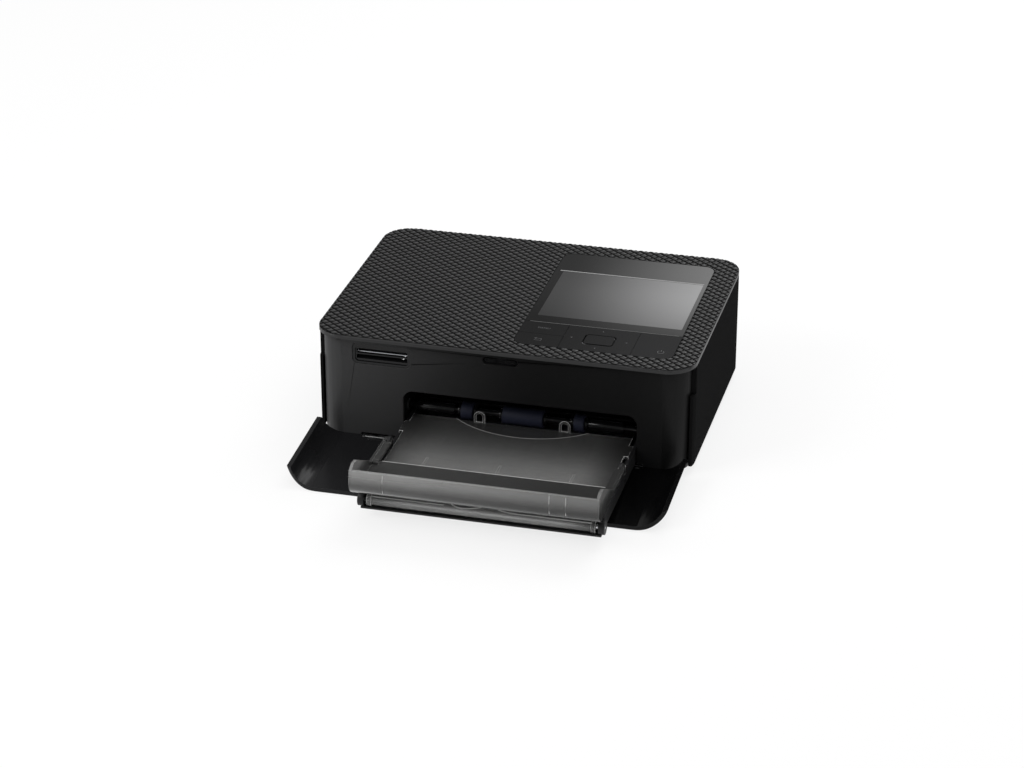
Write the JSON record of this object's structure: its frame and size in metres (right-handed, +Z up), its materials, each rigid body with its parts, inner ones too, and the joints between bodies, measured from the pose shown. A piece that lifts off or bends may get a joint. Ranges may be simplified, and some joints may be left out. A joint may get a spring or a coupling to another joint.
{
  "type": "compact photo printer",
  "caption": "Compact dye-sublimation photo printer with its front door open and a paper cassette in place, card slot, keys and tinted lids.",
  "frame": {"origin": "on the table, under the middle of the box round the whole object (body, open door and cassette)", "axes": "+X to the right seen from the front, +Y to the back, +Z up"},
  "size_m": [0.1822, 0.2146, 0.0576],
  "materials": {
    "black_satin": "satin black moulded plastic, fine lozenge texture on the top",
    "black_gloss": "polished black plastic",
    "black_matt": "matt black moulded plastic",
    "panel_gloss": "glossy black window and keys",
    "screen": "grey picture area in a metal frame",
    "smoke_clear": "smoke-tinted clear moulded plastic",
    "zinc_steel": "zinc-plated pressed steel",
    "bright_steel": "polished steel",
    "roller_rubber": "blue-black rubber",
    "foot_rubber": "matt black rubber",
    "gear_white": "natural acetal",
    "board_green": "green circuit board",
    "alloy": "bare aluminium",
    "frame_black": "black painted pressed steel",
    "ribbon_film": "wound dye film"
  },
  "bodies": {
    "printer": {"main_shell": "black_satin", "top_cover": "black_satin", "fascia": "black_satin", "bottom_cover": "black_matt", "feet": "foot_rubber", "cover_screws": "zinc_steel", "card_slot_frame": "black_gloss", "card_socket": "zinc_steel", "latch_catch": "black_gloss", "door_pins": "bright_steel", "panel_frame": "black_matt", "panel_screws": "zinc_steel", "display_window": "panel_gloss", "screen_module": "screen", "key_board": "board_green", "ribbon_cover_pins": "bright_steel", "chassis": "frame_black", "shaft_bushes": "black_matt", "idler_post": "bright_steel", "motor": "alloy", "ribbon_shell": "black_matt", "main_board": "board_green", "power_inlet": "black_matt", "usb_socket": "bright_steel", "paper_guide": "black_matt"},
    "door_body": {"door": "black_gloss"},
    "ribbon_cover_body": {"ribbon_cover": "black_satin"},
    "cassette": {"cassette_base": "black_matt", "lid_rod": "bright_steel"},
    "lift_plate_body": {"lift_plate": "zinc_steel"},
    "inner_lid_body": {"inner_lid": "smoke_clear"},
    "outer_lid_body": {"outer_lid": "smoke_clear"},
    "menu_key_body": {"menu_key": "panel_gloss"},
    "back_key_body": {"back_key": "panel_gloss"},
    "direction_key_body": {"direction_key": "panel_gloss"},
    "centre_key_body": {"centre_key": "panel_gloss"},
    "power_key_body": {"power_key": "panel_gloss"},
    "pickup_body": {"pickup_shaft": "black_matt", "pickup_tyres": "roller_rubber"},
    "platen_body": {"platen_roller": "roller_rubber", "platen_gear": "gear_white"},
    "idler_body": {"idler_gear": "gear_white"},
    "drive_body": {"drive_roller": "bright_steel", "drive_gear": "gear_white"},
    "motor_body": {"motor_pinion": "alloy"},
    "pinch_body": {"pinch_roller": "roller_rubber"},
    "head_body": {"print_head": "alloy", "heat_sink": "alloy"},
    "takeup_body": {"takeup_spool": "ribbon_film"},
    "supply_body": {"supply_spool": "ribbon_film"}
  },
  "joints": [
    {"name": "door_hinge", "type": "hinge", "parent": "printer", "child": "door_body", "pos_m": [0, -0.02465, 0.0043], "axis": [-1, 0, 0], "range_deg": [0, 4]},
    {"name": "ribbon_cover_hinge", "type": "hinge", "parent": "printer", "child": "ribbon_cover_body", "pos_m": [-0.09, 0.07095, 0.032], "axis": [0, 0, -1], "range_deg": [0, 95]},
    {"name": "cassette_slide", "type": "slide", "parent": "printer", "child": "cassette", "axis": [0, -1, 0], "range_m": [0, 0.092]},
    {"name": "lift_plate_hinge", "type": "hinge", "parent": "cassette", "child": "lift_plate_body", "pos_m": [0.009, -0.04565, 0.0086], "axis": [1, 0, 0], "range_deg": [0, 5]},
    {"name": "inner_lid_hinge", "type": "hinge", "parent": "cassette", "child": "inner_lid_body", "pos_m": [0.009, -0.09225, 0.009], "axis": [1, 0, 0], "range_deg": [0, 2]},
    {"name": "outer_lid_hinge", "type": "hinge", "parent": "cassette", "child": "outer_lid_body", "pos_m": [0.009, -0.05065, 0.0171], "axis": [-1, 0, 0], "range_deg": [0, 100]},
    {"name": "menu_key_press", "type": "slide", "parent": "printer", "child": "menu_key_body", "axis": [0, 0, -1], "range_m": [0, 0.0004], "stiffness_N_per_m": 1000},
    {"name": "back_key_press", "type": "slide", "parent": "printer", "child": "back_key_body", "axis": [0, 0, -1], "range_m": [0, 0.0004], "stiffness_N_per_m": 1000},
    {"name": "direction_key_press", "type": "slide", "parent": "printer", "child": "direction_key_body", "axis": [0, 0, -1], "range_m": [0, 0.0004], "stiffness_N_per_m": 1000},
    {"name": "centre_key_press", "type": "slide", "parent": "printer", "child": "centre_key_body", "axis": [0, 0, -1], "range_m": [0, 0.0004], "stiffness_N_per_m": 1000},
    {"name": "power_key_press", "type": "slide", "parent": "printer", "child": "power_key_body", "axis": [0, 0, -1], "range_m": [0, 0.0004], "stiffness_N_per_m": 1000},
    {"name": "pickup_spin", "type": "hinge", "parent": "printer", "child": "pickup_body", "pos_m": [0.009, -0.01165, 0.0182], "axis": [1, 0, 0], "continuous": true},
    {"name": "platen_spin", "type": "hinge", "parent": "printer", "child": "platen_body", "pos_m": [0.009, 0.04035, 0.022], "axis": [1, 0, 0], "continuous": true},
    {"name": "idler_spin", "type": "hinge", "parent": "printer", "child": "idler_body", "pos_m": [0.071, 0.02352, 0.02715], "axis": [1, 0, 0], "continuous": true},
    {"name": "drive_spin", "type": "hinge", "parent": "printer", "child": "drive_body", "pos_m": [0.009, 0.00935, 0.0246], "axis": [1, 0, 0], "continuous": true},
    {"name": "motor_spin", "type": "hinge", "parent": "printer", "child": "motor_body", "pos_m": [0.071, 0.04711, 0.03471], "axis": [1, 0, 0], "continuous": true},
    {"name": "pinch_spin", "type": "hinge", "parent": "printer", "child": "pinch_body", "pos_m": [0.009, 0.00935, 0.0303], "axis": [1, 0, 0], "continuous": true},
    {"name": "takeup_spin", "type": "hinge", "parent": "printer", "child": "takeup_body", "pos_m": [0.009, 0.02375, 0.0372], "axis": [1, 0, 0], "continuous": true},
    {"name": "supply_spin", "type": "hinge", "parent": "printer", "child": "supply_body", "pos_m": [0.009, 0.05695, 0.0372], "axis": [1, 0, 0], "continuous": true},
    {"name": "head_lift", "type": "slide", "parent": "printer", "child": "head_body", "axis": [0, 0, 1], "range_m": [0, 0.0015]}
  ],
  "couplings": [
    {"joint": "idler_spin", "follows": "platen_spin", "ratio": -1.2},
    {"joint": "drive_spin", "follows": "platen_spin", "ratio": 1.5},
    {"joint": "motor_spin", "follows": "platen_spin", "ratio": -2}
  ]
}
